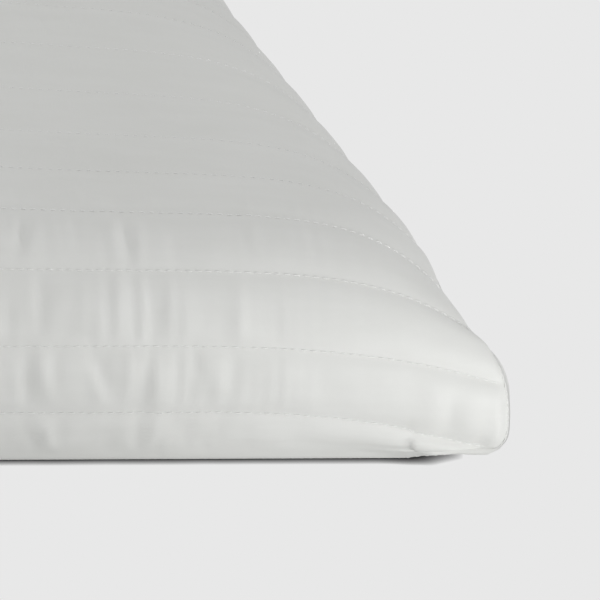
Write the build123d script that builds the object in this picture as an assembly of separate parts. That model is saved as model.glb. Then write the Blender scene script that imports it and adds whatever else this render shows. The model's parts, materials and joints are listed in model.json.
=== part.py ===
from build123d import *

import os

# A bed pillow lying flat. Its cover is one quilted sheet, folded at the front long edge and sewn
# along both short sides and the back. The quilting rows run along X, side by side round the girth.
# X is the length, Y goes from the front fold (-Y) to the back seam (+Y), Z is up from the floor.

# Overall size, over the face fabric
LENGTH = 710.0
DEPTH = 510.0
LOFT = 120.0

# Girth: the outline seen from the end
FOLD_HEIGHT = 30.0
SHOULDER_SETBACK = 34.0
SHOULDER_HEIGHT = 74.0
FLOOR_SETBACK = 24.0
BACK_SEAM_HEIGHT = 36.0
# The underside is squeezed this much, which makes the patch that it rests on flat
FLOOR_SQUEEZE = 0.05

# Quilting
CHANNEL_PITCH = 25.4
QUILT_THREAD_RADIUS = 0.2

# Ends: how the girth closes to the side seams, as (distance in from the seam, height left)
SIDE_SEAM_HEIGHT = 40.0
SIDE_SEAM_GIRTH = 0.985
END_STATIONS = ((0.0, 0.07), (5.0, 0.34), (14.0, 0.56), (32.0, 0.77), (60.0, 0.92), (100.0, 1.0))

# Layers, from the outside in
FACE_THICKNESS = 0.35
WADDING_THICKNESS = 2.5
BACKING_THICKNESS = 0.25
CASING_THICKNESS = 0.35
LAYER_CLEARANCE = 0.3

# Seams
SEAM_THREAD_RADIUS = 0.3
THREAD_CLEARANCE = 0.25
CLOSING_LENGTH = 180.0
CLOSING_GAP = 2.0
SIDE_SEAM_MARGIN = 10.0

# Care label, a blank strip of cloth caught under the back seam
LABEL_WIDTH = 32.0
LABEL_DROP = 26.0
LABEL_THICKNESS = 0.4
LABEL_FROM_SIDE_SEAM = 140.0

# How far inside the face's outside each layer's two faces lie
FACE_INSIDE = FACE_THICKNESS
WADDING_OUTSIDE = FACE_INSIDE + LAYER_CLEARANCE
WADDING_INSIDE = WADDING_OUTSIDE + WADDING_THICKNESS
BACKING_OUTSIDE = WADDING_INSIDE + LAYER_CLEARANCE
BACKING_INSIDE = BACKING_OUTSIDE + BACKING_THICKNESS
THREAD_SPACE = 2 * (QUILT_THREAD_RADIUS + THREAD_CLEARANCE)
CASING_OUTSIDE = BACKING_INSIDE + THREAD_SPACE
CASING_INSIDE = CASING_OUTSIDE + CASING_THICKNESS
FILL_OUTSIDE = CASING_INSIDE + LAYER_CLEARANCE


def girth_edges(inset):
    """The closed outline in the YZ plane, from the back seam over the top, inset from the outside."""
    half = DEPTH / 2 - inset
    corner = inset / 2**0.5
    back = (0, half, BACK_SEAM_HEIGHT)
    back_shoulder = (0, half + inset - SHOULDER_SETBACK - corner, SHOULDER_HEIGHT - corner)
    crown = (0, 0, LOFT - inset)
    front_shoulder = (0, -back_shoulder[1], back_shoulder[2])
    fold = (0, -half, FOLD_HEIGHT)
    floor_front = (0, -DEPTH / 2 + FLOOR_SETBACK, inset - FLOOR_SQUEEZE)
    floor_back = (0, DEPTH / 2 - FLOOR_SETBACK, inset - FLOOR_SQUEEZE)
    up, down, ahead = (0, 0, 1), (0, 0, -1), (0, 1, 0)
    top = ThreePointArc(back_shoulder, crown, front_shoulder)
    rear_top = Spline(back, back_shoulder, tangents=[up, top % 0])
    front_top = Spline(front_shoulder, fold, tangents=[top % 1, down])
    front = Spline(fold, floor_front, tangents=[down, ahead])
    floor = Line(floor_front, floor_back)
    rear = Spline(floor_back, back, tangents=[ahead, up])
    return [line.edge() for line in (rear_top, top, front_top, front, floor, rear)]


def stations(inset):
    """Each cross-section's place along X and height left, from the left end to the right one."""
    end = LENGTH / 2 - inset
    left = [(distance - end, height) for distance, height in END_STATIONS]
    right = [(-place, height) for place, height in reversed(left)]
    return left + right


def narrowing(height_left):
    """How much of the girth's depth is left at a cross-section."""
    return 1.0 - (1.0 - SIDE_SEAM_GIRTH) * (1.0 - height_left)


def section(place, height_left, inset):
    """The closed wire of one cross-section, squeezed towards the side seam."""
    squeeze = Matrix(
        [
            [1, 0, 0, place],
            [0, narrowing(height_left), 0, 0],
            [0, 0, height_left, SIDE_SEAM_HEIGHT * (1 - height_left)],
        ]
    )
    return Wire(girth_edges(inset)).transform_geometry(squeeze)


def body(inset):
    """The pillow's whole solid at one inset, as straight spans between the cross-sections."""
    wires = [section(place, height, inset) for place, height in stations(inset)]
    return Solid.make_loft(wires, ruled=True)


def layer(outside, inside):
    """One hollow layer of the cover."""
    return body(outside) - body(inside)


def face_layer():
    """The face fabric, flat underneath where the pillow rests."""
    above_floor = Pos(0, 0, LOFT) * Box(2 * LENGTH, 2 * DEPTH, 2 * LOFT)
    return (body(0.0) & above_floor) - body(FACE_INSIDE)


def row_places(inset):
    """The point and outward direction of each stitching row on the girth, the back seam first."""
    girth = Wire(girth_edges(inset))
    count = round(girth.length / CHANNEL_PITCH)
    rows = []
    for number in range(count):
        point = girth.position_at(number / count)
        along = girth.tangent_at(number / count)
        rows.append((point, Vector(0, along.Z, -along.Y)))
    return rows


def row_line(row, inset, lift):
    """The points of one row from side seam to side seam, lifted off the surface."""
    point, out = row
    line = []
    for place, left in stations(inset):
        narrow = narrowing(left)
        height = SIDE_SEAM_HEIGHT + (point.Z - SIDE_SEAM_HEIGHT) * left
        line.append((Vector(place, point.Y * narrow, height), Vector(0, out.Y / narrow, out.Z / left)))
    lifted = []
    for number, (spot, normal) in enumerate(line):
        after = line[min(number + 1, len(line) - 1)][0]
        before = line[max(number - 1, 0)][0]
        along = (after - before).normalized()
        square = (normal - along * normal.dot(along)).normalized()
        lifted.append(spot + square * lift)
    return lifted


def rod(points, radius):
    """A thread's solid: straight round runs with a ball where two of them meet."""
    runs = [
        Solid.make_cylinder(radius, (end - start).length, Plane(origin=start, z_dir=end - start))
        for start, end in zip(points, points[1:])
    ]
    balls = [(Pos(point) * Sphere(radius)).solid() for point in points[1:-1]]
    return runs[0].fuse(*runs[1:], *balls) if balls else runs[0]


def rests_on_floor(row):
    """Whether a row lies in the part of the girth that rests on the floor."""
    point, out = row
    return out.Z < -0.9


def quilt_thread(number):
    """The thread of one row: on the face, or under the backing where the pillow rests on it."""
    if rests_on_floor(row_places(0.0)[number]):
        row = row_places(BACKING_INSIDE)[number]
        points = row_line(row, BACKING_INSIDE, -THREAD_SPACE / 2)
    else:
        points = row_line(row_places(0.0)[number], 0.0, THREAD_SPACE / 2)
    return rod(points, QUILT_THREAD_RADIUS)


def side_seam_thread(side):
    """The thread of a short side's seam, side being -1 on the left and 1 on the right."""
    place = side * (LENGTH / 2 + SEAM_THREAD_RADIUS + THREAD_CLEARANCE)
    reach = DEPTH / 2 * SIDE_SEAM_GIRTH - SIDE_SEAM_MARGIN
    ends = [Vector(place, -reach, SIDE_SEAM_HEIGHT), Vector(place, reach, SIDE_SEAM_HEIGHT)]
    return rod(ends, SEAM_THREAD_RADIUS)


def back_seam_thread(side):
    """The thread of the back seam from one side seam to the closing stitch."""
    line = row_line(row_places(0.0)[0], 0.0, SEAM_THREAD_RADIUS + THREAD_CLEARANCE)
    outer = line[: len(END_STATIONS)]
    stop = outer[-1] * 1.0
    stop.X = -CLOSING_LENGTH / 2 - CLOSING_GAP
    points = [*outer, stop]
    if side > 0:
        points = [Vector(-point.X, point.Y, point.Z) for point in points]
    return rod(points, SEAM_THREAD_RADIUS)


def closing_stitch():
    """The stitch that closes the back seam where the filling went in."""
    lift = SEAM_THREAD_RADIUS + THREAD_CLEARANCE
    half = CLOSING_LENGTH / 2
    ends = [Vector(place, DEPTH / 2 + lift, BACK_SEAM_HEIGHT) for place in (-half, half)]
    return rod(ends, SEAM_THREAD_RADIUS)


def care_label():
    """The blank care label, hanging from the back seam against the back."""
    near = DEPTH / 2 + LAYER_CLEARANCE
    place = LABEL_FROM_SIDE_SEAM - LENGTH / 2
    drop = SEAM_THREAD_RADIUS + THREAD_CLEARANCE + LABEL_DROP / 2
    centre = Vector(place, near + LABEL_THICKNESS / 2, BACK_SEAM_HEIGHT - drop)
    return Pos(centre) * Box(LABEL_WIDTH, LABEL_THICKNESS, LABEL_DROP)


def parts():
    """Every node's name and solid."""
    made = {
        "face_fabric": face_layer(),
        "quilt_wadding": layer(WADDING_OUTSIDE, WADDING_INSIDE),
        "quilt_backing": layer(BACKING_OUTSIDE, BACKING_INSIDE),
        "inner_casing": layer(CASING_OUTSIDE, CASING_INSIDE),
        "fibre_filling": body(FILL_OUTSIDE),
        "side_seam_thread_left": side_seam_thread(-1),
        "side_seam_thread_right": side_seam_thread(1),
        "back_seam_thread_left": back_seam_thread(-1),
        "closing_stitch": closing_stitch(),
        "back_seam_thread_right": back_seam_thread(1),
        "care_label": care_label(),
    }
    for number in range(1, len(row_places(0.0))):
        made[f"quilt_thread_{number:02d}"] = quilt_thread(number)
    return made


if __name__ == "__main__":
    os.makedirs("parts", exist_ok=True)
    for name, shape in parts().items():
        export_step(shape, f"parts/{name}.step")
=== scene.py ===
"""A channel-quilted bed pillow lying flat: its cover, stitches, seams, inner layers and filling.

Lengths are in metres. X runs along the pillow, -Y is the folded long edge, +Y the back seam, Z is up.
"""

import json
import logging
import math
from dataclasses import dataclass, field
from enum import Enum

import bpy
import numpy as np
from mathutils import Matrix, Vector

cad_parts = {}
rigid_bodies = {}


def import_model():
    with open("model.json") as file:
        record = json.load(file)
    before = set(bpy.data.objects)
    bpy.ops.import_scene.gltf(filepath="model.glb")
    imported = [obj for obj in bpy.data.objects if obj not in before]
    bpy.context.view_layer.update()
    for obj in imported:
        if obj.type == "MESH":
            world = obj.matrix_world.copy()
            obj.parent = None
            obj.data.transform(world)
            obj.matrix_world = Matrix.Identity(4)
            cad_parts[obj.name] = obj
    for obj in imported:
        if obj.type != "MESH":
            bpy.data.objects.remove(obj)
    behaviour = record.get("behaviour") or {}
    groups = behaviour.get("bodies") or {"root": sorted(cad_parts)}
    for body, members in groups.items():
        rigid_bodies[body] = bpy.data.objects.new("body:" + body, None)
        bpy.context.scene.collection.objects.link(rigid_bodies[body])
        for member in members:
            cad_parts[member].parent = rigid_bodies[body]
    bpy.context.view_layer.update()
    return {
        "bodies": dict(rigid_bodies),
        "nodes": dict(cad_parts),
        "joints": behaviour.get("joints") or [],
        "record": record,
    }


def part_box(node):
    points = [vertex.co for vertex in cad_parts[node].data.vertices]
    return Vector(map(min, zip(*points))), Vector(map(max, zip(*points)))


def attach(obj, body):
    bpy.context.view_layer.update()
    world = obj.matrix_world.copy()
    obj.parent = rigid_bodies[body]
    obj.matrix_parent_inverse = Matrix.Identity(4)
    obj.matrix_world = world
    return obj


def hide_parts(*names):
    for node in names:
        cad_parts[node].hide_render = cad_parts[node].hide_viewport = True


LOG = logging.getLogger("pillow")
Array = np.ndarray

# How far inside the box of the face fabric the smooth form starts, along X and along Y
INSET_LONG = 0.003
INSET_DEEP = 0.005


class Side(Enum):
    """The two short sides of the pillow."""

    LEFT = -1
    RIGHT = 1


# ---------------------------------------------------------------------------------------------
# Form
# ---------------------------------------------------------------------------------------------


def smooth(value: Array, low: float, high: float) -> Array:
    """Smooth step.

    Args:
        value: where to evaluate it.
        low: where the step starts.
        high: where it ends.

    Returns:
        0 below low, 1 above high, and a smooth rise between.
    """
    part = np.clip((value - low) / (high - low), 0.0, 1.0)
    return part * part * (3.0 - 2.0 * part)


@dataclass(frozen=True)
class Ripple:
    """A repeatable one-dimensional noise: a few sines of nearby wavelengths."""

    seed: int
    shortest: float
    longest: float
    waves: int = 7

    def at(self, place: Array) -> Array:
        """Evaluate the noise.

        Args:
            place: positions along the line, in metres.

        Returns:
            Values with a root mean square of about 1.
        """
        draw = np.random.default_rng(self.seed)
        lengths = self.shortest * (self.longest / self.shortest) ** draw.random(self.waves)
        phases = draw.random(self.waves) * 2.0 * math.pi
        total = np.zeros_like(place, dtype=float)
        for length, phase in zip(lengths, phases):
            total += np.sin(place * (2.0 * math.pi / length) + phase)
        return total * math.sqrt(2.0 / self.waves)


@dataclass(frozen=True)
class Fold:
    """One soft fold in the fabric, long across a channel and narrow along it; a hollow is negative."""

    x: float
    place: float
    length: float
    width: float
    lean: float
    height: float

    def at(self, place: Array, x: Array) -> Array:
        """The fold's height.

        Args:
            place: girth places, one for each row.
            x: places along X.

        Returns:
            Heights in metres.
        """
        part = np.clip(1.0 - ((place - self.place) / (self.length / 2)) ** 2, 0.0, 1.0)[:, None]
        aside = (x - self.x - self.lean * (place - self.place)[:, None]) / self.width
        return self.height * part**1.5 * np.exp(-(aside**2))


@dataclass(frozen=True)
class FoldField:
    """Many folds at repeatable random places, where the fabric has been gathered by its stitches."""

    seed: int
    low_place: float
    high_place: float
    low_x: float
    high_x: float
    count: int
    height: float
    lean: float

    def folds(self) -> list[Fold]:
        """Draw the folds.

        Returns:
            The folds, with hollows and ridges in turn.
        """
        draw = np.random.default_rng(self.seed)
        made = []
        for number in range(self.count):
            place = self.low_place + (self.high_place - self.low_place) * draw.random()
            x = self.low_x + (self.high_x - self.low_x) * draw.random()
            length = 0.018 + 0.026 * draw.random()
            width = 0.0018 + 0.0026 * draw.random()
            lean = self.lean * (2.0 * draw.random() - 1.0)
            height = self.height * (0.4 + 0.8 * draw.random()) * (1 if number % 2 else -1)
            made.append(Fold(x, place, length, width, lean, height))
        return made


@dataclass(frozen=True)
class Girth:
    """The pillow's outline seen from the end, by distance along the fabric from the floor line."""

    front_lean: float = math.radians(115.7)
    top_lean: float = math.radians(-5.65)
    shoulder_at: float = 0.063
    shoulder_width: float = 0.0195
    swell: float = math.radians(19.5)
    swell_at: float = 0.190
    swell_width: float = 0.050
    crown_at: float = 0.300
    level_from: float = 0.262
    level_width: float = 0.018
    step: float = 0.0005

    def quarter(self) -> tuple[Array, Array, Array]:
        """Walk from the floor line in front up to the crown.

        Returns:
            Distances along the fabric, and the depth and height there, from the floor line.
        """
        along = np.arange(0.0, self.crown_at + self.step / 2, self.step)
        fall = 1.0 / (1.0 + np.exp((along - self.shoulder_at) / self.shoulder_width))
        lean = self.top_lean + (self.front_lean - self.top_lean) * fall
        lean = lean + self.swell * np.exp(-(((along - self.swell_at) / self.swell_width) ** 2))
        level = 1.0 / (1.0 + np.exp((along - self.level_from) / self.level_width))
        lean = np.where(along > self.shoulder_at * 2, lean * level, lean)
        deep = np.concatenate([[0.0], np.cumsum(np.cos((lean[1:] + lean[:-1]) / 2) * self.step)])
        high = np.concatenate([[0.0], np.cumsum(np.sin((lean[1:] + lean[:-1]) / 2) * self.step)])
        return along, deep, high


@dataclass
class PillowForm:
    """The smooth pillow under its quilting: every point of the fabric, placed in space.

    A point of the fabric has a girth place, measured in metres from the front floor line up over
    the top and back along the underside, and a row fraction from 0 at the left seam to 1 at the
    right one.
    """

    half_length: float
    half_depth: float
    girth: Girth = field(default_factory=Girth)
    fold_at: float = 0.008
    back_seam_at: float = 0.034
    corner_seam_height: float = 0.0423
    corner_seam_rise: float = 0.0238
    corner_tuck: float = 0.0228
    corner_round: float = 0.0243
    corner_forward: float = 0.0014
    corner_lift: float = 0.0085
    corner_reach: float = 0.0279
    side_seam_lift: float = 0.0265
    side_dent: float = 0.0096
    side_dent_at: float = 0.0841
    side_dent_width: float = 0.030
    pull_in: float = 0.0648
    pull_shape: float = 1.315
    top_close: float = 0.1476
    top_close_power: float = 5.9
    front_close: float = 0.1334
    front_close_power: float = 2.7
    front_reach: float = 0.0688
    front_blend: float = 0.010
    floor_close: float = 0.0204
    floor_close_power: float = 1.28
    floor_blend: float = 0.035
    under_close: float = 0.058
    under_close_power: float = 2.8
    narrowing: float = -0.0113
    back_narrowing: float = 0.012
    back_corner_drop: float = 0.40
    back_corner_rise: float = 0.045
    back_corner_round: float = 0.016
    middle_rise: float = 0.020
    slope_samples: int = 260

    def __post_init__(self) -> None:
        """Work out the outline and the seam line that the two panels share."""
        self.along, deep, self.high = self.girth.quarter()
        self.stretch = self.half_depth / deep[-1]
        self.deep = deep - deep[-1]
        self.quarter = self.along[-1]
        self.floor_length = 2.0 * -self.deep[0]
        self.total = 2.0 * self.quarter + self.floor_length
        self.back_edge = 2.0 * self.quarter - self.back_seam_at
        seam_places = np.linspace(self.fold_at, self.back_edge, 900)
        self.seam_line = self._seam_points(seam_places)
        steps = np.linalg.norm(np.diff(self.seam_line, axis=0), axis=1)
        self.seam_share = np.concatenate([[0.0], np.cumsum(steps)]) / steps.sum()

    def outline(self, place: Array) -> tuple[Array, Array]:
        """The outline half way along the pillow.

        Args:
            place: girth places, which may run past either end of one turn.

        Returns:
            The depth from the middle and the height.
        """
        turn = np.mod(place, self.total)
        top = turn <= 2.0 * self.quarter
        folded = np.where(turn > self.quarter, 2.0 * self.quarter - turn, turn)
        back = np.where(turn > self.quarter, -1.0, 1.0)
        deep = np.interp(folded, self.along, self.deep) * back
        high = np.interp(folded, self.along, self.high)
        under = -self.deep[0] - (turn - 2.0 * self.quarter)
        return np.where(top, deep, under), np.where(top, high, 0.0)

    def _seam_points(self, place: Array) -> Array:
        """The right seam, by the top panel's girth place: pull-in, depth and height."""
        deep, high = self.outline(place)
        near = np.where(place > self.quarter, 2.0 * self.quarter - place, place)
        above = np.maximum(near - self.corner_tuck, 0.0)
        behind = np.maximum(near - self.back_seam_at, 0.0)
        in_front = 1.0 - np.exp(-((above / self.corner_seam_rise) ** 1.5))
        at_back = 1.0 - self.back_corner_drop * np.exp(-((behind / self.back_corner_rise) ** 1.5))
        rise = np.where(place > self.quarter, at_back, in_front)
        lift = self.side_seam_lift * np.sin(np.pi / 2 * near / self.quarter) ** 2
        seam = np.minimum(self.corner_seam_height * rise + lift, high + 0.003)
        half = -self.deep[0]
        mid = 1.0 - np.clip(np.abs(deep) / half, 0.0, 1.0) ** self.pull_shape
        dent = self.side_dent * np.exp(-(((place - self.side_dent_at) / self.side_dent_width) ** 2))
        edge = np.where(place > self.quarter, self.back_seam_at, self.fold_at)
        turned = 1.0 - smooth(near, edge, edge + self.corner_reach)
        corner = np.where(place > self.quarter, self.back_corner_round, self.corner_round)
        pull = self.pull_in * mid + dent + corner * turned**2
        narrowing = np.where(deep < 0, self.narrowing, self.back_narrowing)
        depth = deep * (1.0 - narrowing) - np.where(deep < 0, self.corner_forward, 0.0) * turned
        return np.stack([-pull, depth, seam + self.corner_lift * (1.0 - rise)], axis=-1)

    def seam_at(self, place: Array) -> Array:
        """Where each girth place ends on the right seam.

        Args:
            place: girth places of either panel.

        Returns:
            Pull-in, depth and height of the seam, one row for each place.
        """
        turn = np.mod(place, self.total)
        on_top = (turn >= self.fold_at) & (turn <= self.back_edge)
        top = self._seam_points(np.clip(turn, self.fold_at, self.back_edge))
        from_fold = np.mod(self.fold_at - turn, self.total)
        share = from_fold / (self.total - self.back_edge + self.fold_at)
        under = np.stack(
            [np.interp(share, self.seam_share, self.seam_line[:, axis]) for axis in range(3)], -1
        )
        return np.where(on_top[:, None], top, under)

    def _closing(self, place: Array) -> tuple[Array, Array]:
        """How far from the side seam each girth place has its full height, and how squarely."""
        turn = np.mod(place, self.total)
        near = np.minimum(np.abs(turn), np.abs(2.0 * self.quarter - turn))
        near = np.minimum(near, self.total - turn)
        front = 1.0 / (1.0 + np.exp((near - self.front_reach) / self.front_blend))
        top_width = self.top_close * (1.0 - front) + self.front_close * front
        top_power = self.top_close_power * (1.0 - front) + self.front_close_power * front
        up = np.where(turn > 2.0 * self.quarter, 0.0, near)
        below = 1.0 - smooth(up, 0.0, self.floor_blend)
        at_back = (turn > self.quarter) & (turn < 2.0 * self.quarter + self.floor_length / 2)
        away = np.where(at_back, 1.0, smooth(near, 0.02, 0.09))
        floor_width = self.floor_close + (self.under_close - self.floor_close) * away
        floor_power = self.floor_close_power + (self.under_close_power - self.floor_close_power) * away
        width = top_width * (1.0 - below) + floor_width * below
        power = top_power * (1.0 - below) + floor_power * below
        return width, power

    def right_half(self, place: Array, inward: Array) -> Array:
        """Points of the right half.

        Args:
            place: one girth place for each row.
            inward: distance in from the seam, measured in plan, one row for each place.

        Returns:
            Points, as rows by columns by three.
        """
        deep, high = self.outline(place)
        seam = self.seam_at(place)
        width, power = self._closing(place)
        open_share = 1.0 - (1.0 - np.clip(inward / width[:, None], 0.0, 1.0)) ** power[:, None]
        x = self.half_length + seam[:, 0:1] - inward
        y = seam[:, 1:2] + (deep[:, None] - seam[:, 1:2]) * open_share
        middle = np.cos(np.clip(x / self.half_length, -1.0, 1.0) * np.pi / 2) ** 4
        crown = np.clip(1.0 - (deep / (self.floor_length / 2)) ** 2, 0.0, 1.0) ** 0.6 * (high > 0.0)
        full = high[:, None] + self.middle_rise * middle * crown[:, None]
        z = seam[:, 2:3] + (full - seam[:, 2:3]) * open_share
        return np.stack([x, y * self.stretch, z], axis=-1)

    def points(self, place: Array, fraction: Array) -> tuple[Array, Array]:
        """Points of the fabric on a grid.

        Args:
            place: girth places, one for each row of the grid.
            fraction: row fractions from 0 at the left seam to 1 at the right one.

        Returns:
            The points, and each one's distance along its row from the nearer side seam.
        """
        seam = self.seam_at(place)
        reach = self.half_length + seam[:, 0]
        samples = np.linspace(0.0, 1.0, self.slope_samples) ** 1.6
        rough = self.right_half(place, reach[:, None] * samples[None, :])
        steps = np.linalg.norm(np.diff(rough, axis=1), axis=2)
        walked = np.concatenate([np.zeros((len(place), 1)), np.cumsum(steps, axis=1)], axis=1)
        from_seam = 1.0 - np.abs(2.0 * fraction - 1.0)
        inward = np.empty((len(place), len(fraction)))
        for row in range(len(place)):
            wanted = from_seam * walked[row, -1]
            inward[row] = np.interp(wanted, walked[row], reach[row] * samples)
        made = self.right_half(place, inward)
        made[:, :, 0] *= np.where(fraction < 0.5, -1.0, 1.0)[None, :]
        return made, from_seam[None, :] * walked[:, -1:]


def gathers() -> tuple[Fold, ...]:
    """All the folds that the stitches gather along the front and back walls.

    Returns:
        The placed folds and the random ones.
    """
    fields = [
        FoldField(11, 0.002, 0.100, -0.260, 0.165, 230, 0.00108, 0.30),
        FoldField(13, 0.002, 0.100, 0.165, 0.275, 60, 0.00028, 0.30),
        FoldField(12, 0.495, 0.575, -0.260, 0.260, 200, 0.00060, 0.30),
    ]
    placed = [
        Fold(0.1825, 0.0858, 0.026, 0.0022, 0.27, -0.00125),
        Fold(0.1873, 0.0613, 0.032, 0.0024, 0.02, -0.00150),
        Fold(0.1765, 0.0558, 0.022, 0.0019, 0.00, -0.00100),
        Fold(0.1835, 0.0368, 0.030, 0.0023, -0.05, -0.00125),
        Fold(0.1855, 0.0143, 0.026, 0.0028, -0.40, -0.00130),
        Fold(0.1925, 0.0403, 0.020, 0.0020, 0.00, -0.00088),
        Fold(0.2070, 0.0428, 0.022, 0.0022, -0.30, -0.00100),
        Fold(0.2227, 0.0368, 0.030, 0.0023, 0.00, -0.00125),
        Fold(0.2232, 0.0158, 0.024, 0.0028, 0.00, -0.00120),
        Fold(0.2270, 0.0583, 0.030, 0.0028, 0.10, -0.00112),
        Fold(0.2195, 0.0838, 0.026, 0.0030, 0.00, -0.00100),
        Fold(0.2410, 0.0428, 0.022, 0.0020, -0.25, -0.00088),
        Fold(0.2535, 0.0368, 0.030, 0.0030, 0.05, -0.00112),
        Fold(0.2510, 0.0168, 0.022, 0.0022, 0.00, -0.00112),
        Fold(0.1965, 0.0158, 0.018, 0.0020, 0.00, -0.00088),
        Fold(0.2145, 0.0598, 0.030, 0.0026, 0.00, 0.00100),
        Fold(0.1892, 0.0383, 0.028, 0.0017, -0.15, 0.00088),
        Fold(0.2075, 0.0328, 0.024, 0.0022, -0.45, 0.00075),
        Fold(0.2173, 0.0398, 0.028, 0.0038, 0.00, 0.00088),
        Fold(0.2290, 0.0248, 0.044, 0.0026, 0.00, 0.00088),
        Fold(0.2555, 0.0578, 0.032, 0.0026, 0.00, 0.00088),
        Fold(0.1790, 0.0348, 0.030, 0.0020, -0.20, 0.00088),
        Fold(0.1915, 0.0138, 0.024, 0.0019, -0.45, 0.00100),
        Fold(0.3300, 0.0318, 0.022, 0.0030, 0.00, -0.00090),
        Fold(0.3235, 0.0338, 0.028, 0.0050, 0.05, 0.00080),
        Fold(0.3375, 0.0338, 0.026, 0.0045, -0.05, 0.00080),
        Fold(0.3420, 0.0253, 0.010, 0.0024, 0.00, -0.00140),
    ]
    return tuple(placed) + tuple(fold for folds in fields for fold in folds.folds())


@dataclass
class Quilting:
    """The relief that the quilting gives the fabric, and where its rows lie."""

    form: PillowForm
    row_count: int = 43
    pitch: float = 0.0254
    first_row: float = 0.0230
    puff: float = 0.0012
    top_puff: float = 0.0005
    puff_power: float = 2.4
    corner_puff: float = 0.0022
    corner_skew: float = 1.35
    rim_puff: float = 0.0018
    pucker: float = 0.00016
    pucker_short: float = 0.0042
    pucker_long: float = 0.0095
    drape: float = 0.00045
    drape_short: float = 0.016
    drape_long: float = 0.045
    seam_margin: float = 0.008
    seam_dip: float = 0.0005
    seam_width: float = 0.0028
    seam_reach: float = 0.005
    folds: tuple = ()
    tuck_x: float = 0.3180
    tuck_depth: float = 0.0008
    tuck_slide: float = 0.0016

    def __post_init__(self) -> None:
        """Place every row of stitches, one pitch apart on the top and almost that underneath."""
        low, high = self.form.back_edge - self.form.total, self.form.back_edge
        on_top = int((high - self.seam_margin - self.first_row) // self.pitch) + 1
        top = self.first_row + self.pitch * np.arange(on_top)
        below = self.row_count - on_top
        under_pitch = (self.first_row - low) / (below + 0.6)
        self.rows = np.concatenate([self.first_row - under_pitch * np.arange(below, 0, -1), top])
        self.lines = np.concatenate([[self.rows[0] - self.pitch], self.rows, [self.rows[-1] + self.pitch]])

    def relief(self, place: Array, points: Array, from_seam: Array) -> Array:
        """How far the fabric stands off the smooth form.

        Args:
            place: one girth place for each row, counted down past zero on the underside.
            points: the smooth form's points.
            from_seam: their distances from the nearer side seam.

        Returns:
            Heights in metres.
        """
        channel = np.clip(np.searchsorted(self.lines, place + 1e-9) - 1, 0, len(self.lines) - 2)
        gap = self.lines[channel + 1] - self.lines[channel]
        phase = ((place - self.lines[channel]) / gap)[:, None]
        x, z = points[:, :, 0], points[:, :, 2]
        arch = 1.0 - np.abs(2.0 * phase - 1.0) ** self.puff_power
        on_top = smooth(np.minimum(place, 2 * self.form.quarter - place), 0.07, 0.12)[:, None]
        puff = self.puff * (1.0 - on_top) + self.top_puff * on_top
        edge = np.exp(-(from_seam / 0.03))
        corner = np.exp(-((from_seam / 0.05) ** 2)) * smooth(-np.abs(place - 0.033), -0.030, -0.010)[:, None]
        skewed = 1.0 - np.abs(2.0 * phase**self.corner_skew - 1.0) ** self.puff_power
        below = (place < self.form.fold_at)[:, None]
        height = arch * (puff + 0.0005 * edge)
        height = height + skewed * self.corner_puff * corner
        height = height + below * self.rim_puff * edge
        height = height + self._puckers(channel, phase, x, from_seam)
        across = np.sin(np.pi * phase)
        for fold in self.folds:
            near = np.abs(place - fold.place) < fold.length / 2
            if near.any():
                height[near] += fold.at(place[near], x[near]) * (0.55 + 0.45 * across[near])
        height = height + self._tuck(place, x)
        lifted = smooth(z, 0.0005, 0.012)
        height = height * (0.12 + 0.88 * lifted)
        low = self.form.back_edge - self.form.total
        from_back = np.minimum(place - low, self.form.back_edge - place)[:, None]
        sewn = smooth(from_seam, 0.0, self.seam_reach) * smooth(from_back, 0.0, self.seam_reach)
        dip = np.exp(-((from_seam / self.seam_width) ** 2)) + np.exp(-((from_back / self.seam_width) ** 2))
        return height * sewn - self.seam_dip * np.minimum(dip, 1.0)

    def _tuck(self, place: Array, x: Array) -> Array:
        """The crease where the fold is tucked under at the front right corner."""
        beside = x - self._tuck_line(place)[:, None]
        here = (smooth(place, -0.006, 0.002) * (1.0 - smooth(place, 0.018, 0.0225)))[:, None]
        left = np.exp(-(np.minimum(beside, 0.0) / 0.0035) ** 2)
        right = np.exp(-(np.maximum(beside, 0.0) / 0.011) ** 2)
        step = smooth(beside, -0.0016, 0.0016)
        return here * self.tuck_depth * (step * right - (1.0 - step) * left)

    def _tuck_line(self, place: Array) -> Array:
        """Where the tuck's crease runs, by girth place."""
        down = np.clip(self.first_row - place, 0.0, 0.03)
        return self.tuck_x + 0.08 * down + 9.0 * down**2

    def slide(self, place: Array, x: Array) -> Array:
        """How far the tuck draws the fabric down, along the girth."""
        beside = x - self._tuck_line(place)[:, None]
        here = (smooth(place, 0.0, 0.010) * (1.0 - smooth(place, 0.022, 0.040)))[:, None]
        step = smooth(beside, -0.0018, 0.0018)
        return -self.tuck_slide * here * step * np.exp(-(np.maximum(beside, 0.0) / 0.03) ** 2)

    def _puckers(self, channel: Array, phase: Array, x: Array, from_seam: Array) -> Array:
        """Fine folds that start at each row of stitches, and softer ones that cross a channel."""
        total = np.zeros_like(x)
        calm = 0.25 + 0.75 * smooth(from_seam, 0.05, 0.13)
        for number in np.unique(channel):
            rows = channel == number
            part = phase[rows]
            place = x[rows]
            low = self._row_folds(int(number), place)
            high = self._row_folds(int(number) + 1, place)
            cross = Ripple(900 + int(number), self.drape_short, self.drape_long).at(
                place + 0.012 * (part - 0.5)
            )
            fine = low * part**0.6 * (1.0 - part) ** 1.3 + high * (1.0 - part) ** 0.6 * part**1.3
            wide = cross * np.sin(np.pi * part)
            total[rows] = self.pucker * 2.6 * fine + self.drape * wide
        return total * calm

    def _row_folds(self, number: int, place: Array) -> Array:
        """The folds that one row of stitches gathers, with quieter stretches."""
        folds = Ripple(100 + number, self.pucker_short, self.pucker_long, 9).at(place)
        loud = Ripple(500 + number, 0.03, 0.12, 5).at(place)
        return folds * np.clip(0.75 + 0.45 * loud, 0.1, 1.6)

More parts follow.
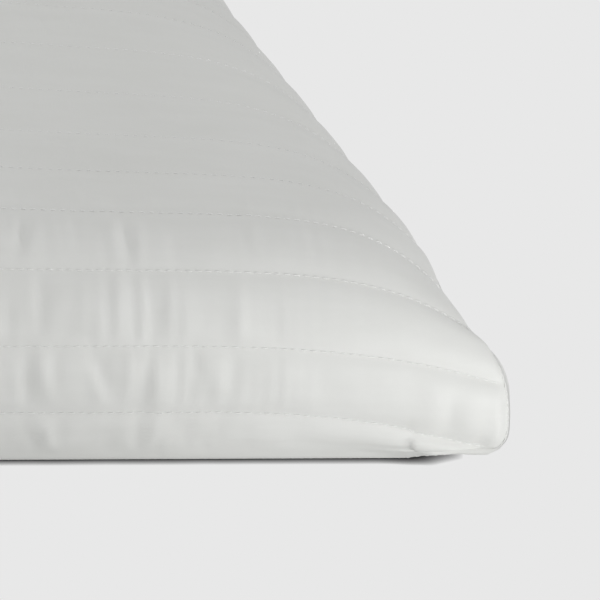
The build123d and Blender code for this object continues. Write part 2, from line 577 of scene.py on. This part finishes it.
    def surface(self, place: Array, fraction: Array, lift: float = 0.0) -> tuple[Array, Array]:
        """The quilted fabric on a grid.

        Args:
            place: girth places, increasing, one for each row of the grid.
            fraction: row fractions.
            lift: an extra distance off the fabric.

        Returns:
            The points and their unit outward directions on the smooth form.
        """
        smooth_points, from_seam = self.form.points(place, fraction)
        step = 0.0008
        ahead, _ = self.form.points(place + step, fraction)
        behind, _ = self.form.points(place - step, fraction)
        across = ahead - behind
        along = np.gradient(smooth_points, axis=1)
        normal = np.cross(along, across)
        size = np.linalg.norm(normal, axis=2, keepdims=True)
        normal = normal / np.maximum(size, 1e-12)
        height = self.relief(place, smooth_points, from_seam) + lift
        across /= np.maximum(np.linalg.norm(across, axis=2, keepdims=True), 1e-12)
        slid = self.slide(place, smooth_points[:, :, 0])
        made = smooth_points + normal * height[:, :, None] + across * slid[:, :, None]
        made[:, :, 2] = np.maximum(made[:, :, 2], 0.0)
        return made, normal


# ---------------------------------------------------------------------------------------------
# Meshes
# ---------------------------------------------------------------------------------------------


def grid_faces(rows: int, columns: int) -> Array:
    """Quads over a grid of vertices.

    Args:
        rows: rows of the grid.
        columns: columns of the grid.

    Returns:
        Vertex numbers, four to a face.
    """
    numbers = np.arange(rows * columns).reshape(rows, columns)
    quads = [numbers[:-1, :-1], numbers[:-1, 1:], numbers[1:, 1:], numbers[1:, :-1]]
    return np.stack([part.ravel() for part in quads], axis=1)


def make_mesh(name: str, vertices: Array, faces: Array) -> bpy.types.Object:
    """A mesh object from arrays.

    Args:
        name: the object's name.
        vertices: points, three numbers each.
        faces: vertex numbers, the same count for every face.

    Returns:
        The new object, linked to the scene.
    """
    mesh = bpy.data.meshes.new(name)
    corners = faces.shape[1]
    mesh.vertices.add(len(vertices))
    mesh.vertices.foreach_set("co", np.ascontiguousarray(vertices, dtype=np.float32).ravel())
    mesh.loops.add(faces.size)
    mesh.loops.foreach_set("vertex_index", np.ascontiguousarray(faces, dtype=np.int32).ravel())
    mesh.polygons.add(len(faces))
    mesh.polygons.foreach_set("loop_start", np.arange(0, faces.size, corners, dtype=np.int32))
    mesh.polygons.foreach_set("use_smooth", np.full(len(faces), True))
    mesh.update(calc_edges=True)
    mesh.validate()
    made = bpy.data.objects.new(name, mesh)
    bpy.context.scene.collection.objects.link(made)
    return made


def settle(piece: bpy.types.Object, material: bpy.types.Material, slot: str, *nodes: str) -> None:
    """Dress a piece and say what it stands for.

    Args:
        piece: the new object.
        material: its material.
        slot: the record's material slot; not used.
        nodes: the CAD nodes that it replaces.
    """
    piece.data.materials.append(material)
    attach(piece, "root")
    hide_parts(*nodes)
    LOG.info("%s: %d vertices, stands for %s", piece.name, len(piece.data.vertices), ", ".join(nodes))


@dataclass(frozen=True)
class StitchShape:
    """One visible stitch: a short arch of thread whose ends dive into the fabric."""

    pitch: float = 0.0034
    share: float = 0.80
    radius: float = 0.00019
    sink: float = 0.00035
    rise: float = 0.00017
    rings: int = 7
    sides: int = 6

    def arch(self) -> tuple[Array, Array, Array]:
        """The stitch's own line.

        Returns:
            For each ring: its place along the stitch, its height, and its radius.
        """
        part = np.linspace(-1.0, 1.0, self.rings)
        height = self.rise - (self.rise + self.sink) * np.abs(part) ** 3
        radius = self.radius * (1.0 - 0.45 * np.abs(part) ** 4)
        return part * self.pitch * self.share / 2, height, radius

    def build(self, name: str, line: Array, normals: Array) -> bpy.types.Object:
        """A row of stitches along a line on the fabric.

        Args:
            name: the object's name.
            line: points of the row.
            normals: the outward directions there.

        Returns:
            One object with every stitch of the row.
        """
        steps = np.linalg.norm(np.diff(line, axis=0), axis=1)
        walked = np.concatenate([[0.0], np.cumsum(steps)])
        count = max(1, int(walked[-1] // self.pitch))
        start = (walked[-1] - count * self.pitch) / 2 + self.pitch / 2
        offset, height, radius = self.arch()
        places = start + self.pitch * np.arange(count)[:, None] + offset[None, :]
        centre = self._along(places, walked, line)
        out = self._along(places, walked, normals)
        out /= np.linalg.norm(out, axis=2, keepdims=True)
        ahead = self._along(places + 1e-4, walked, line) - self._along(places - 1e-4, walked, line)
        ahead /= np.linalg.norm(ahead, axis=2, keepdims=True)
        aside = np.cross(ahead, out)
        turns = np.linspace(0.0, 2.0 * math.pi, self.sides, endpoint=False)
        around = (
            aside[:, :, None, :] * np.cos(turns)[None, None, :, None]
            + out[:, :, None, :] * np.sin(turns)[None, None, :, None]
        )
        middle = centre + out * height[None, :, None]
        rings = middle[:, :, None, :] + around * radius[None, :, None, None]
        vertices = rings.reshape(-1, 3)
        one = []
        for ring in range(self.rings - 1):
            for side in range(self.sides):
                after = (side + 1) % self.sides
                low, high = ring * self.sides, (ring + 1) * self.sides
                one.append([low + side, low + after, high + after, high + side])
        half = self.sides // 2
        last = (self.rings - 1) * self.sides
        for side in range(half - 1):
            opposite = self.sides - 1 - side
            one.append([side, opposite, opposite - 1, side + 1])
            one.append([last + side, last + side + 1, last + opposite - 1, last + opposite])
        faces = np.array(one)[None, :, :] + (np.arange(count) * self.rings * self.sides)[:, None, None]
        return make_mesh(name, vertices, faces.reshape(-1, 4))

    @staticmethod
    def _along(places: Array, walked: Array, values: Array) -> Array:
        """Values read at distances along a line."""
        read = [np.interp(places, walked, values[:, axis]) for axis in range(3)]
        return np.stack(read, axis=-1)


# ---------------------------------------------------------------------------------------------
# Finishes
# ---------------------------------------------------------------------------------------------


class Nodes:
    """A material's node tree, with short calls to fill it."""

    def __init__(self, name: str) -> None:
        """Start a material that holds only a principled shader and its output."""
        self.material = bpy.data.materials.new(name)
        self.material.use_nodes = True
        self.tree = self.material.node_tree
        self.tree.nodes.clear()
        self.shader = self.add("ShaderNodeBsdfPrincipled")
        output = self.add("ShaderNodeOutputMaterial")
        self.join(self.shader.outputs["BSDF"], output.inputs["Surface"])
        place = self.add("ShaderNodeTexCoord")
        self.place = place.outputs["Object"]

    def add(self, kind: str, **settings: object) -> bpy.types.Node:
        """Add a node with its settings."""
        node = self.tree.nodes.new(kind)
        for key, value in settings.items():
            setattr(node, key, value)
        return node

    def join(self, output: bpy.types.NodeSocket, wanted: bpy.types.NodeSocket) -> None:
        """Link two sockets."""
        self.tree.links.new(output, wanted)

    def put(self, **values: object) -> None:
        """Set the shader's own sockets, by their names with underscores for spaces."""
        for key, value in values.items():
            self.shader.inputs[key.replace("_", " ")].default_value = value

    def noise(self, scale: float, detail: float = 2.0, stretch: tuple = (1, 1, 1)) -> bpy.types.NodeSocket:
        """A noise of the given scale, stretched along the axes.

        Args:
            scale: features for each metre.
            detail: octaves.
            stretch: a factor for each axis.

        Returns:
            The noise's value socket.
        """
        mapping = self.add("ShaderNodeMapping")
        mapping.inputs["Scale"].default_value = stretch
        self.join(self.place, mapping.inputs["Vector"])
        noise = self.add("ShaderNodeTexNoise")
        noise.inputs["Scale"].default_value = scale
        noise.inputs["Detail"].default_value = detail
        self.join(mapping.outputs["Vector"], noise.inputs["Vector"])
        return noise.outputs["Fac"]

    def wave(self, axis: str, scale: float, distortion: float = 0.0) -> bpy.types.NodeSocket:
        """Bands across an axis, as many for each metre as scale times about three."""
        wave = self.add("ShaderNodeTexWave", bands_direction=axis)
        wave.inputs["Scale"].default_value = scale
        wave.inputs["Distortion"].default_value = distortion
        self.join(self.place, wave.inputs["Vector"])
        return wave.outputs["Fac"]

    def math(self, operation: str, first: object, second: object) -> bpy.types.NodeSocket:
        """A sum, product or other operation on sockets or numbers."""
        node = self.add("ShaderNodeMath", operation=operation)
        for number, value in enumerate((first, second)):
            if isinstance(value, (int, float)):
                node.inputs[number].default_value = value
            else:
                self.join(value, node.inputs[number])
        return node.outputs[0]

    def tint(self, value: bpy.types.NodeSocket, dark: tuple, light: tuple, low: float, high: float) -> None:
        """Colour the shader from dark to light as a value goes from low to high."""
        ramp = self.add("ShaderNodeValToRGB")
        ramp.color_ramp.elements[0].position = low
        ramp.color_ramp.elements[0].color = (*dark, 1.0)
        ramp.color_ramp.elements[1].position = high
        ramp.color_ramp.elements[1].color = (*light, 1.0)
        self.join(value, ramp.inputs["Fac"])
        self.join(ramp.outputs["Color"], self.shader.inputs["Base Color"])

    def rough(self, value: bpy.types.NodeSocket, low: float, high: float) -> None:
        """Let a value from 0 to 1 set the roughness between two numbers."""
        span = self.math("MULTIPLY", value, high - low)
        self.join(self.math("ADD", span, low), self.shader.inputs["Roughness"])

    def bump(self, value: bpy.types.NodeSocket, height: float, strength: float = 1.0) -> None:
        """Raise the surface by a value, height being its full size in metres."""
        bump = self.add("ShaderNodeBump")
        bump.inputs["Strength"].default_value = strength
        bump.inputs["Distance"].default_value = height
        self.join(value, bump.inputs["Height"])
        self.join(bump.outputs["Normal"], self.shader.inputs["Normal"])


@dataclass(frozen=True)
class Sateen:
    """The cover's cotton sateen: fine threads, a soft sheen and slight shade differences."""

    shade: tuple = (0.800, 0.806, 0.780)
    light: tuple = (0.850, 0.856, 0.835)
    threads: float = 900.0
    weave_height: float = 0.00003

    def material(self) -> bpy.types.Material:
        """Build the material."""
        nodes = Nodes("cotton_sateen")
        weft = nodes.noise(self.threads, 1.0, (0.35, 1.0, 1.0))
        warp = nodes.noise(self.threads, 1.0, (1.0, 0.35, 0.6))
        slubs = nodes.noise(160.0, 3.0, (0.15, 1.0, 1.0))
        patches = nodes.noise(14.0, 3.0)
        weave = nodes.math("ADD", nodes.math("MULTIPLY", weft, 0.6), nodes.math("MULTIPLY", warp, 0.4))
        tone = nodes.math("ADD", nodes.math("MULTIPLY", patches, 0.6), nodes.math("MULTIPLY", slubs, 0.4))
        nodes.tint(tone, self.shade, self.light, 0.3, 0.7)
        nodes.rough(slubs, 0.50, 0.66)
        nodes.bump(weave, self.weave_height)
        nodes.put(Sheen_Weight=0.25, Sheen_Roughness=0.45, Specular_IOR_Level=0.35)
        return nodes.material


@dataclass(frozen=True)
class Thread:
    """Twisted sewing thread."""

    name: str = "quilting_thread"
    shade: tuple = (0.89, 0.895, 0.88)
    light: tuple = (0.97, 0.972, 0.96)

    def material(self) -> bpy.types.Material:
        """Build the material."""
        nodes = Nodes(self.name)
        twist = nodes.wave("DIAGONAL", 900.0, 1.0)
        nodes.tint(twist, self.shade, self.light, 0.2, 0.8)
        nodes.rough(twist, 0.35, 0.55)
        nodes.bump(twist, 0.00004)
        nodes.put(Sheen_Weight=0.3, Sheen_Roughness=0.35)
        return nodes.material


@dataclass(frozen=True)
class Fleece:
    """Loose or bonded fibre: wadding, non-woven backing or filling."""

    name: str
    grain: float
    height: float
    shade: tuple = (0.84, 0.84, 0.83)
    light: tuple = (0.93, 0.93, 0.92)

    def material(self) -> bpy.types.Material:
        """Build the material."""
        nodes = Nodes(self.name)
        fibres = nodes.noise(self.grain, 8.0, (1.0, 0.5, 1.0))
        strands = nodes.noise(self.grain * 2.5, 6.0, (0.3, 1.0, 1.0))
        mixed = nodes.math("ADD", nodes.math("MULTIPLY", fibres, 0.5), nodes.math("MULTIPLY", strands, 0.5))
        nodes.tint(mixed, self.shade, self.light, 0.3, 0.7)
        nodes.rough(mixed, 0.75, 0.95)
        nodes.bump(mixed, self.height)
        nodes.put(Sheen_Weight=0.5, Sheen_Roughness=0.6)
        return nodes.material


@dataclass(frozen=True)
class PlainWeave:
    """Plain woven cloth or ribbon, with threads that cross."""

    name: str
    threads: float
    shade: tuple = (0.80, 0.80, 0.78)
    light: tuple = (0.89, 0.89, 0.87)
    sheen: float = 0.2

    def material(self) -> bpy.types.Material:
        """Build the material."""
        nodes = Nodes(self.name)
        warp = nodes.wave("X", self.threads, 0.4)
        weft = nodes.wave("Y", self.threads, 0.4)
        cross = nodes.math("MULTIPLY", warp, weft)
        fuzz = nodes.noise(240.0, 4.0)
        mixed = nodes.math("ADD", nodes.math("MULTIPLY", cross, 0.7), nodes.math("MULTIPLY", fuzz, 0.3))
        nodes.tint(mixed, self.shade, self.light, 0.1, 0.7)
        nodes.rough(fuzz, 0.60, 0.85)
        nodes.bump(mixed, 0.00008)
        nodes.put(Sheen_Weight=self.sheen, Sheen_Roughness=0.5)
        return nodes.material


# ---------------------------------------------------------------------------------------------
# Sub-assemblies
# ---------------------------------------------------------------------------------------------


@dataclass
class QuiltedCover:
    """The face fabric: one sheet round the pillow, with its seam allowances turned in."""

    quilting: Quilting
    columns: int = 432
    top_rows_in_channel: int = 9
    front_rows_in_channel: int = 16
    floor_rows_in_channel: int = 4
    allowance: float = 0.006
    side_crowding: float = 0.035

    def girth_places(self) -> Array:
        """The grid's rows, denser on the top than underneath, with one on every stitching row."""
        form, rows = self.quilting.form, self.quilting.rows
        knots = np.concatenate([[form.back_edge - form.total], rows, [form.back_edge]])
        places = []
        for low, high in zip(knots[:-1], knots[1:]):
            full = self.top_rows_in_channel if high > -0.03 else self.floor_rows_in_channel
            full = self.front_rows_in_channel if 0.0 < high < 0.10 else full
            count = max(2, round(full * (high - low) / self.quilting.pitch))
            places.append(np.linspace(low, high, count, endpoint=False))
        return np.concatenate([*places, knots[-1:]])

    def fractions(self) -> Array:
        """The grid's columns, closer together near the side seams."""
        even = np.linspace(0.0, 1.0, self.columns)
        return even - self.side_crowding * np.sin(2.0 * math.pi * even)

    def build(self, finish: Sateen) -> bpy.types.Object:
        """Make the sheet and dress it.

        Args:
            finish: the cloth.

        Returns:
            The cover's object.
        """
        points, normals = self.quilting.surface(self.girth_places(), self.fractions())
        points = self._turn_in(points, normals)
        rows, columns = points.shape[:2]
        made = make_mesh("face_fabric_quilted", points.reshape(-1, 3), grid_faces(rows, columns))
        settle(made, finish.material(), "cotton_face", "face_fabric")
        return made

    def _turn_in(self, points: Array, normals: Array) -> Array:
        """Add the seam allowances, which run inwards from every sewn edge."""
        middle = np.array([0.0, 0.0, 0.03])
        left = self._inward(points[:, 0], points[:, 4], middle)
        right = self._inward(points[:, -1], points[:, -5], middle)
        wide = np.concatenate([left[:, None], points, right[:, None]], axis=1)
        low = self._inward(wide[0], wide[4], middle)
        high = self._inward(wide[-1], wide[-5], middle)
        return np.concatenate([low[None], wide, high[None]], axis=0)

    def _inward(self, edge: Array, beside: Array, middle: Array) -> Array:
        """One allowance's free edge, straight in from the seam and a little to its panel's side."""
        level = middle - edge
        level[:, 2] = 0.0
        level /= np.linalg.norm(level, axis=1, keepdims=True)
        panel = beside - edge
        panel /= np.maximum(np.linalg.norm(panel, axis=1, keepdims=True), 1e-9)
        return edge + (level * 0.9 + panel * 0.3) * self.allowance


@dataclass
class QuiltingThreads:
    """Every row of quilting stitches, each its own thread."""

    quilting: Quilting
    stitch: StitchShape = field(default_factory=StitchShape)
    samples: int = 900
    lift: float = 0.00012
    under_sink: float = 0.00035
    top_sink: float = 0.00020

    def build(self, finish: Thread, nodes: list[str]) -> list[bpy.types.Object]:
        """Make the rows.

        Args:
            finish: the thread.
            nodes: the CAD threads, in the order of the girth from the back seam over the top.

        Returns:
            The rows' objects.
        """
        places = self.quilting.rows
        fractions = np.linspace(0.004, 0.996, self.samples)
        points, normals = self.quilting.surface(places, fractions, self.lift)
        form = self.quilting.form
        from_edge = np.minimum(places, 2.0 * form.quarter - places)
        sink = np.where(places < form.fold_at, self.under_sink, self.top_sink * smooth(from_edge, 0.06, 0.16))
        points = points - normals * sink[:, None, None]
        material = finish.material()
        order = list(reversed(range(len(places))))
        made = []
        for number, row in enumerate(order):
            piece = self.stitch.build(f"quilting_stitches_{number + 1:02d}", points[row], normals[row])
            settle(piece, material, "quilt_thread", nodes[number])
            made.append(piece)
        return made


@dataclass
class SeamThreads:
    """The lockstitches of the side seams, the back seam and its closing."""

    quilting: Quilting
    stitch: StitchShape = field(default_factory=lambda: StitchShape(pitch=0.003, radius=0.00016))
    sunk: float = 0.0010
    closing_half: float = 0.090

    def _side(self, side: Side) -> tuple[Array, Array]:
        """The line of a side seam, and its outward directions."""
        form = self.quilting.form
        seam = form.seam_line * np.array([1.0, form.stretch, 1.0])
        line = seam + np.array([form.half_length, 0.0, 0.0])
        line[:, 0] = (line[:, 0] - self.sunk) * side.value
        normals = np.tile([float(side.value), 0.0, 0.0], (len(line), 1))
        return line, normals

    def _back(self, low: float, high: float) -> tuple[Array, Array]:
        """The line of the back seam between two places along X."""
        form = self.quilting.form
        fractions = np.linspace(0.003, 0.997, 700)
        points, _ = form.points(np.array([form.back_edge]), fractions)
        line = points[0]
        line = line[(line[:, 0] >= low) & (line[:, 0] <= high)]
        line[:, 1] -= self.sunk
        return line, np.tile([0.0, 1.0, 0.0], (len(line), 1))

    def build(self, finish: Thread) -> None:
        """Make all five seams' stitches and dress them."""
        material = finish.material()
        end = self.quilting.form.half_length
        lines = {
            "side_seam_thread_left": self._side(Side.LEFT),
            "side_seam_thread_right": self._side(Side.RIGHT),
            "back_seam_thread_left": self._back(-end, -self.closing_half - 0.002),
            "closing_stitch": self._back(-self.closing_half, self.closing_half),
            "back_seam_thread_right": self._back(self.closing_half + 0.002, end),
        }
        for node, (line, normals) in lines.items():
            piece = self.stitch.build(f"{node}_stitches", line, normals)
            settle(piece, material, "seam_thread", node)


@dataclass
class InnerLayers:
    """What the cover holds: wadding, backing, casing and filling, one inside the other."""

    quilting: Quilting
    wadding_under: float = 0.0008
    backing_under: float = 0.0036
    casing_under: float = 0.0052
    filling_under: float = 0.0068
    filling_lumps: float = 0.0015
    middle_height: float = 0.038
    quilt_puff: float = 0.0012
    columns: int = 120
    rows: int = 150

    def _shell(self, under: float, quilted: bool, lumps: float = 0.0) -> Array:
        """A closed form a given distance under the smooth surface, as a grid of points."""
        form = self.quilting.form
        places = np.linspace(form.back_edge - form.total, form.back_edge, self.rows)
        fractions = np.linspace(0.0, 1.0, self.columns)
        points, from_seam = form.points(places, fractions)
        shrink = 1.0 - (under + 0.004) / np.array([form.half_length, form.half_depth, 0.06])
        centre = np.array([0.0, 0.0, self.middle_height])
        inner = centre + (points - centre) * shrink
        if quilted:
            count = np.interp(places, self.quilting.lines, np.arange(len(self.quilting.lines)))
            arch = 1.0 - np.abs(2.0 * (count - np.floor(count)) - 1.0) ** 2
            inner[:, :, 2] += (arch[:, None] * self.quilt_puff) * np.sign(points[:, :, 2] - self.middle_height)
        if lumps:
            x, y = points[:, :, 0], points[:, :, 1]
            wobble = Ripple(71, 0.03, 0.09).at(x + 0.4 * y) * Ripple(72, 0.03, 0.09).at(y - 0.3 * x)
            inner[:, :, 2] -= lumps * np.abs(wobble) * np.sign(points[:, :, 2] - self.middle_height)
        return inner

    def build(self) -> None:
        """Make the four layers and dress them."""
        wadding = Fleece("polyester_wadding", 700.0, 0.0006)
        backing = Fleece("nonwoven_backing", 1500.0, 0.0001)
        casing = PlainWeave("casing_cotton", 600.0)
        filling = Fleece("polyester_fibre", 260.0, 0.002)
        layers = [
            ("quilt_wadding", self.wadding_under, True, 0.0, wadding, "wadding"),
            ("quilt_backing", self.backing_under, False, 0.0, backing, "backing"),
            ("inner_casing", self.casing_under, False, 0.0, casing, "casing"),
            ("fibre_filling", self.filling_under, False, self.filling_lumps, filling, "filling"),
        ]
        for node, under, quilted, lumps, finish, slot in layers:
            points = self._shell(under, quilted, lumps)
            piece = make_mesh(f"{node}_layer", points.reshape(-1, 3), grid_faces(*points.shape[:2]))
            settle(piece, finish.material(), slot, node)


@dataclass
class CareLabel:
    """The blank label, a ribbon folded double and caught in the back seam."""

    form: PillowForm
    width: float = 0.032
    drop: float = 0.024
    gap: float = 0.0014
    from_side: float = 0.140
    rows: int = 26
    columns: int = 18

    def build(self, finish: PlainWeave) -> bpy.types.Object:
        """Make the ribbon and dress it.

        Args:
            finish: the ribbon.

        Returns:
            The label's object.
        """
        across = np.linspace(-0.5, 0.5, self.columns) * self.width
        along = np.linspace(-1.0, 1.0, self.rows)
        down = self.drop * (1.0 - np.abs(along))
        _, seam_height = self.form.outline(np.array([self.form.back_edge]))
        seam_y = self.form.points(np.array([self.form.back_edge]), np.array([0.3]))[0][0, 0, 1]
        lean = 0.0008 + 0.0045 * np.sin(np.clip(down / self.drop, 0, 1) * 1.4)
        bow = np.sqrt(np.clip(1.0 - np.abs(along) ** 6, 0.0, 1.0)) * self.gap / 2
        y = seam_y + lean + np.sign(along) * bow
        z = seam_height[0] - down * 0.98
        curl = 0.0006 * np.cos(across / self.width * math.pi)
        points = np.stack(
            [
                np.broadcast_to(across - self.form.half_length + self.from_side, (self.rows, self.columns)),
                y[:, None] + curl[None, :],
                np.broadcast_to(z[:, None], (self.rows, self.columns)),
            ],
            axis=-1,
        )
        made = make_mesh("care_label_ribbon", points.reshape(-1, 3), grid_faces(self.rows, self.columns))
        settle(made, finish.material(), "label", "care_label")
        return made


@dataclass
class Studio:
    """The pale floor, the soft lights and the camera."""

    grey: float = 0.807
    floor_half: float = 6.0
    floor_shade: tuple = (0.80, 0.80, 0.80)
    aim: tuple = (0.28, -0.15, 0.04)
    air: float = 0.648
    key_at: tuple = (0.45, -0.52, 0.014)
    key_size: float = 0.06
    key_power: float = 0.42
    fill_at: tuple = (-1.3, 1.1, 0.45)
    fill_size: float = 1.0
    fill_power: float = 2.0
    shadow_reach: float = 0.0035
    shadow_power: float = 1.5
    camera_at: tuple = (-0.086, -2.0806, 0.9191)
    turn: float = math.radians(11.21)
    tilt: float = math.radians(24.7)
    roll: float = math.radians(4.72)
    lens: float = 362.0

    def build(self) -> None:
        """Set the whole stage."""
        self._floor()
        self._air()
        self._lights()
        self._camera()

    def _floor(self) -> None:
        """A wide floor that glows as pale as the air around it, with a contact shadow painted into its glow
        where it is touched.
        """
        size = self.floor_half
        corners = np.array([[-size, -size, 0], [size, -size, 0], [size, size, 0], [-size, size, 0]])
        floor = make_mesh("floor", corners, np.array([[0, 1, 2, 3]]))
        material = bpy.data.materials.new("pale_floor")
        material.use_nodes = True
        tree = material.node_tree
        tree.nodes.clear()
        # Ambient occlusion dims the glow that the camera sees: a painted contact shadow under the pillow.
        near = tree.nodes.new("ShaderNodeAmbientOcclusion")
        near.samples = 16
        near.inputs["Distance"].default_value = self.shadow_reach
        painted_shadow = tree.nodes.new("ShaderNodeMath")
        painted_shadow.operation = "POWER"
        painted_shadow.inputs[1].default_value = self.shadow_power
        bright = tree.nodes.new("ShaderNodeMath")
        bright.operation = "MULTIPLY"
        bright.inputs[1].default_value = self.grey
        glow = tree.nodes.new("ShaderNodeEmission")
        plain = tree.nodes.new("ShaderNodeBsdfDiffuse")
        plain.inputs["Color"].default_value = (*self.floor_shade, 1.0)
        seen = tree.nodes.new("ShaderNodeLightPath")
        mix = tree.nodes.new("ShaderNodeMixShader")
        output = tree.nodes.new("ShaderNodeOutputMaterial")
        tree.links.new(near.outputs["AO"], painted_shadow.inputs[0])
        tree.links.new(painted_shadow.outputs[0], bright.inputs[0])
        tree.links.new(bright.outputs[0], glow.inputs["Strength"])
        tree.links.new(seen.outputs["Is Camera Ray"], mix.inputs["Fac"])
        tree.links.new(plain.outputs[0], mix.inputs[1])
        tree.links.new(glow.outputs[0], mix.inputs[2])
        tree.links.new(mix.outputs[0], output.inputs["Surface"])
        floor.data.materials.append(material)

    def _air(self) -> None:
        """Even light from all round, behind a background as pale as the floor."""
        world = bpy.data.worlds.new("studio_air")
        world.use_nodes = True
        tree = world.node_tree
        sky = tree.nodes["Background"]
        sky.inputs["Color"].default_value = (1.0, 1.0, 1.0, 1.0)
        seen = tree.nodes.new("ShaderNodeLightPath")
        pick = tree.nodes.new("ShaderNodeMapRange")
        pick.inputs["To Min"].default_value = self.air
        pick.inputs["To Max"].default_value = self.grey
        tree.links.new(seen.outputs["Is Camera Ray"], pick.inputs["Value"])
        tree.links.new(pick.outputs["Result"], sky.inputs["Strength"])
        bpy.context.scene.world = world

    def _lights(self) -> None:
        """A low soft key close to the front right corner, and a weak fill behind on the left."""
        self._area("key", self.key_at, self.key_size, self.key_power)
        self._area("fill", self.fill_at, self.fill_size, self.fill_power)

    def _area(self, name: str, place: tuple, size: float, power: float) -> None:
        """A square light that faces the pillow's front right corner."""
        light = bpy.data.lights.new(name, "AREA")
        light.size = size
        light.energy = power
        made = bpy.data.objects.new(name, light)
        made.location = place
        made.visible_camera = False
        aim = Vector(self.aim) - Vector(place)
        made.rotation_euler = aim.to_track_quat("-Z", "Y").to_euler()
        bpy.context.scene.collection.objects.link(made)

    def _camera(self) -> None:
        """A long lens in front of the right corner, looking down and a little to the right."""
        camera = bpy.data.cameras.new("camera")
        camera.sensor_width = 36.0
        camera.lens = self.lens
        camera.clip_start = 0.05
        made = bpy.data.objects.new("camera", camera)
        ahead = Vector(
            (
                math.sin(self.turn) * math.cos(self.tilt),
                math.cos(self.turn) * math.cos(self.tilt),
                -math.sin(self.tilt),
            )
        )
        right = Vector((math.cos(self.turn), -math.sin(self.turn), 0.0))
        up = right.cross(ahead)
        rolled = right * math.cos(self.roll) + up * math.sin(self.roll)
        upright = up * math.cos(self.roll) - right * math.sin(self.roll)
        frame = Matrix((rolled, upright, -ahead)).transposed().to_4x4()
        frame.translation = Vector(self.camera_at)
        made.matrix_world = frame
        bpy.context.scene.collection.objects.link(made)
        bpy.context.scene.camera = made
        bpy.context.scene.view_settings.view_transform = "Standard"


def main() -> None:
    """Build the pillow around the frame, then its stage."""
    logging.basicConfig(level=logging.INFO, format="%(message)s")
    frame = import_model()
    low, high = (np.array(corner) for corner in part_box("face_fabric"))
    half = (high - low) / 2
    form = PillowForm(half_length=half[0] - INSET_LONG, half_depth=half[1] - INSET_DEEP)
    threads = sorted(name for name in frame["nodes"] if name.startswith("quilt_thread"))
    quilting = Quilting(form, len(threads), folds=gathers())
    QuiltedCover(quilting).build(Sateen())
    QuiltingThreads(quilting).build(Thread(), threads)
    SeamThreads(quilting).build(Thread("seam_thread"))
    InnerLayers(quilting).build()
    CareLabel(form).build(PlainWeave("label_ribbon", 900.0, (0.86, 0.86, 0.85), (0.93, 0.93, 0.92), 0.4))
    Studio().build()


if __name__ == "__main__":
    main()
